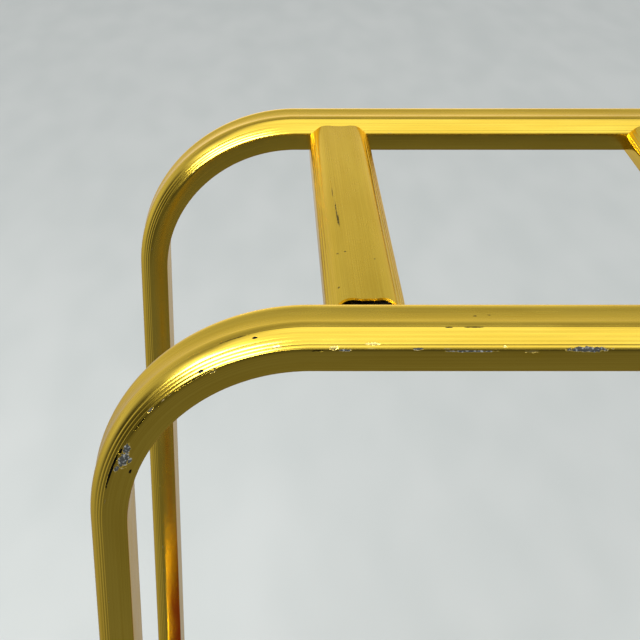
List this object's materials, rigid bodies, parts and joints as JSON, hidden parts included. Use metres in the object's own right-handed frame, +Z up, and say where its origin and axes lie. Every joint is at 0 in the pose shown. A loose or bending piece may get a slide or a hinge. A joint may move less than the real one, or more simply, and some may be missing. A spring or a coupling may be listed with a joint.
{
  "type": "hotel luggage cart",
  "caption": "Low hotel luggage cart: twin gold aluminium hoops tied by slats over a carpeted deck, on swivel casters with brakes and fixed casters.",
  "frame": {"origin": "on the floor under the centre of the cart", "axes": "+X the way it travels, along the hoops, +Y its left side, +Z up"},
  "size_m": [1.232, 0.532, 0.96],
  "materials": {
    "gold_aluminium": "gold anodised, satin",
    "zinc_steel": "bright zinc plated",
    "black_steel": "black powder coat",
    "plain_aluminium": "mill finish",
    "plywood": "sanded birch plywood",
    "red_carpet": "cut pile",
    "grey_rubber": "non-marking grey rubber",
    "black_rubber": "matte moulded rubber",
    "hub_plastic": "moulded polypropylene",
    "brake_red": "red powder coat"
  },
  "bodies": {
    "frame": {"hoop_right": "gold_aluminium", "hoop_left": "gold_aluminium", "slat_1": "gold_aluminium", "slat_2": "gold_aluminium", "slat_3": "gold_aluminium", "slat_4": "gold_aluminium", "slat_spigots": "plain_aluminium", "spigot_rivets": "plain_aluminium", "slat_screws": "zinc_steel", "side_rails": "black_steel", "cross_rails": "black_steel", "leg_stubs": "plain_aluminium", "leg_bolts": "zinc_steel", "deck_board": "plywood", "deck_screws": "zinc_steel", "deck_carpet": "red_carpet", "deck_trim": "gold_aluminium", "deck_bumper": "black_rubber", "leg_collars": "gold_aluminium", "collar_screws": "gold_aluminium", "caster_bolts": "zinc_steel", "caster_nuts": "zinc_steel", "swivel_plate_left": "zinc_steel", "kingpin_left": "zinc_steel", "fixed_fork_left": "zinc_steel", "axle_front_left": "zinc_steel", "swivel_plate_right": "zinc_steel", "kingpin_right": "zinc_steel", "fixed_fork_right": "zinc_steel", "axle_front_right": "zinc_steel"},
    "swivel_left": {"swivel_fork_left": "zinc_steel", "axle_rear_left": "zinc_steel", "brake_pin_left": "zinc_steel"},
    "balls_left": {"swivel_balls_left": "zinc_steel"},
    "brake_left": {"brake_pedal_left": "brake_red", "brake_pad_left": "black_rubber"},
    "wheel_rear_left": {"hub_rear_left": "hub_plastic", "bush_rear_left": "zinc_steel", "tyre_rear_left": "grey_rubber"},
    "wheel_front_left": {"hub_front_left": "hub_plastic", "bush_front_left": "zinc_steel", "tyre_front_left": "grey_rubber"},
    "swivel_right": {"swivel_fork_right": "zinc_steel", "axle_rear_right": "zinc_steel", "brake_pin_right": "zinc_steel"},
    "balls_right": {"swivel_balls_right": "zinc_steel"},
    "brake_right": {"brake_pedal_right": "brake_red", "brake_pad_right": "black_rubber"},
    "wheel_rear_right": {"hub_rear_right": "hub_plastic", "bush_rear_right": "zinc_steel", "tyre_rear_right": "grey_rubber"},
    "wheel_front_right": {"hub_front_right": "hub_plastic", "bush_front_right": "zinc_steel", "tyre_front_right": "grey_rubber"}
  },
  "joints": [
    {"name": "swivel_left_turn", "type": "hinge", "parent": "frame", "child": "swivel_left", "pos_m": [-0.47, 0.15, 0.18], "axis": [0, 0, 1], "continuous": true},
    {"name": "balls_left_roll", "type": "hinge", "parent": "frame", "child": "balls_left", "pos_m": [-0.47, 0.15, 0.18], "axis": [0, 0, 1], "continuous": true},
    {"name": "brake_left_press", "type": "hinge", "parent": "swivel_left", "child": "brake_left", "pos_m": [-0.551, 0.15, 0.14948], "axis": [0, -1, 0], "range_deg": [0, 7.5]},
    {"name": "wheel_rear_left_spin", "type": "hinge", "parent": "swivel_left", "child": "wheel_rear_left", "pos_m": [-0.508, 0.15, 0.075], "axis": [0, 1, 0], "continuous": true},
    {"name": "wheel_front_left_spin", "type": "hinge", "parent": "frame", "child": "wheel_front_left", "pos_m": [0.47, 0.15, 0.075], "axis": [0, 1, 0], "continuous": true},
    {"name": "swivel_right_turn", "type": "hinge", "parent": "frame", "child": "swivel_right", "pos_m": [-0.47, -0.15, 0.18], "axis": [0, 0, 1], "continuous": true},
    {"name": "balls_right_roll", "type": "hinge", "parent": "frame", "child": "balls_right", "pos_m": [-0.47, -0.15, 0.18], "axis": [0, 0, 1], "continuous": true},
    {"name": "brake_right_press", "type": "hinge", "parent": "swivel_right", "child": "brake_right", "pos_m": [-0.551, -0.15, 0.14948], "axis": [0, -1, 0], "range_deg": [0, 7.5]},
    {"name": "wheel_rear_right_spin", "type": "hinge", "parent": "swivel_right", "child": "wheel_rear_right", "pos_m": [-0.508, -0.15, 0.075], "axis": [0, 1, 0], "continuous": true},
    {"name": "wheel_front_right_spin", "type": "hinge", "parent": "frame", "child": "wheel_front_right", "pos_m": [0.47, -0.15, 0.075], "axis": [0, 1, 0], "continuous": true}
  ],
  "couplings": [
    {"joint": "balls_left_roll", "follows": "swivel_left_turn", "ratio": 0.5},
    {"joint": "balls_right_roll", "follows": "swivel_right_turn", "ratio": 0.5}
  ]
}
